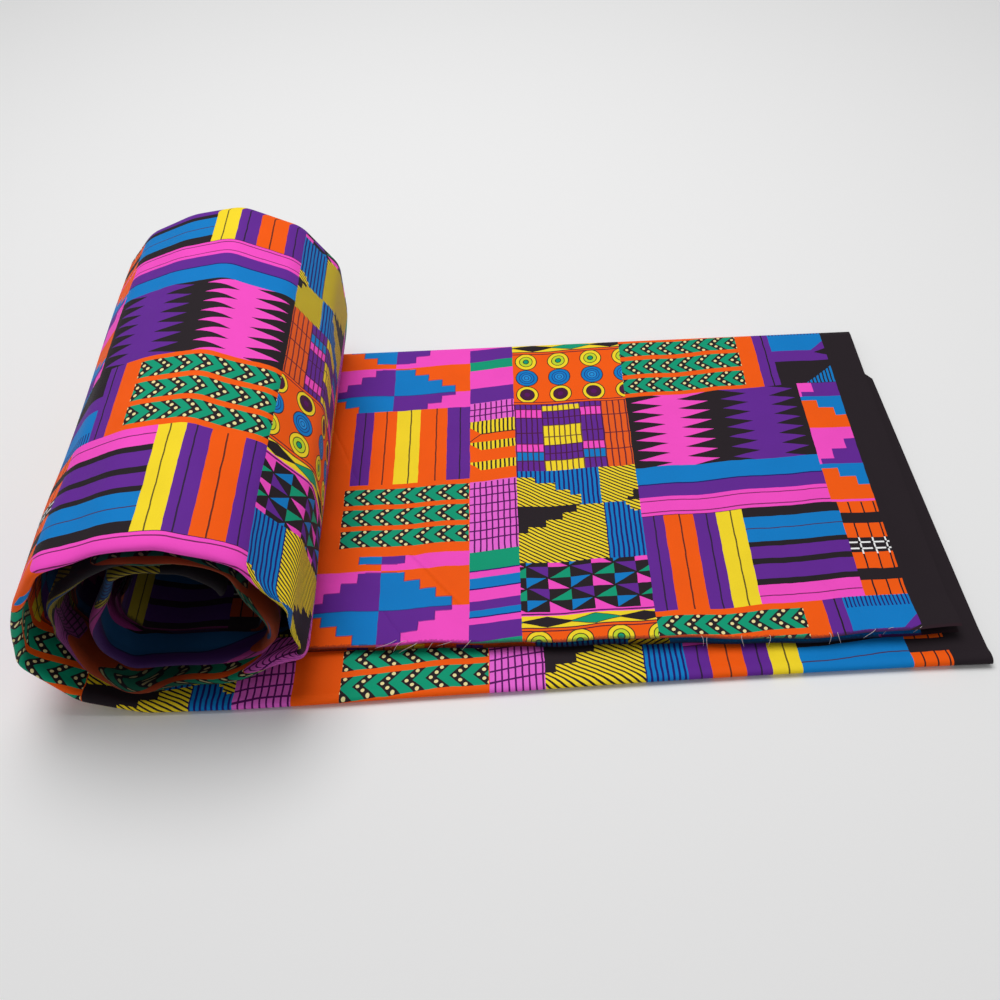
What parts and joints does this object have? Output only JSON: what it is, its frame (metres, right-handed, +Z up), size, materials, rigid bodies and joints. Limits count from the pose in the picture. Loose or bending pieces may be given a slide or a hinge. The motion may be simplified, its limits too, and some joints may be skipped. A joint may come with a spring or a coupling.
{
  "type": "ankara fabric",
  "caption": "Length of kente-patterned printed cotton, folded lengthwise in four layers, rolled up at one end on its own flat strip",
  "frame": {"origin": "on the ground, under the middle of the bounding box", "axes": "+X along the strip from the roll to the flat right end, +Y from the near fold to the far folds, +Z up"},
  "size_m": [0.4453, 0.2456, 0.1129],
  "materials": {
    "printed_cotton": "smooth printed cotton with a faint sheen"
  },
  "bodies": {
    "root": {"cloth": "printed_cotton"}
  },
  "joints": []
}
